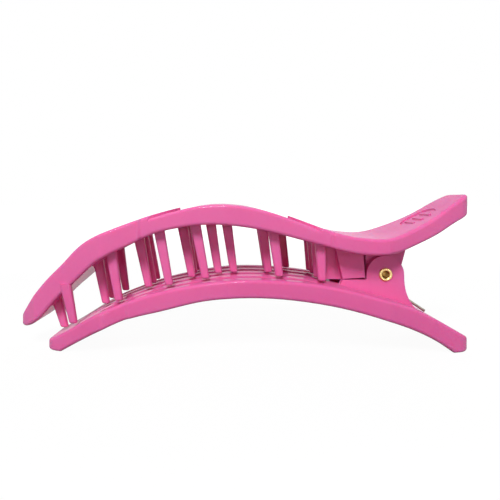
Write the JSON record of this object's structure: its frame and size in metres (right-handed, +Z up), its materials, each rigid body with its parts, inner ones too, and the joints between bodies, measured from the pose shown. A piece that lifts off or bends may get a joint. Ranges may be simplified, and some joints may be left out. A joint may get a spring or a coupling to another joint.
{
  "type": "flat hair clip",
  "caption": "Long flat spring hair clip: an arched toothed upper jaw with a thumb lever, hinged by a hollow rivet to a slotted lower jaw with a tail.",
  "frame": {"origin": "on the surface that the closed clip stands on, below the middle of its bounding box", "axes": "+X from the tip of the jaws to the thumb lever, +Y across the clip along the hinge line, +Z up"},
  "size_m": [0.1264, 0.031, 0.0428],
  "materials": {
    "pink_moulding_upper": "gloss",
    "pink_moulding_lower": "gloss",
    "rivet_brass": "polished",
    "spring_steel": "drawn wire"
  },
  "bodies": {
    "lower": {"lower_jaw": "pink_moulding_lower", "hinge_rivet": "rivet_brass", "torsion_spring": "spring_steel"},
    "upper": {"upper_jaw": "pink_moulding_upper"}
  },
  "joints": [
    {"name": "jaw_hinge", "type": "hinge", "parent": "lower", "child": "upper", "pos_m": [0.03887, 0, 0.02075], "axis": [0, 1, 0], "range_deg": [0, 66], "stiffness_Nm_per_rad": 0.04, "springref_deg": -68.75, "deforming": ["torsion_spring"]}
  ]
}
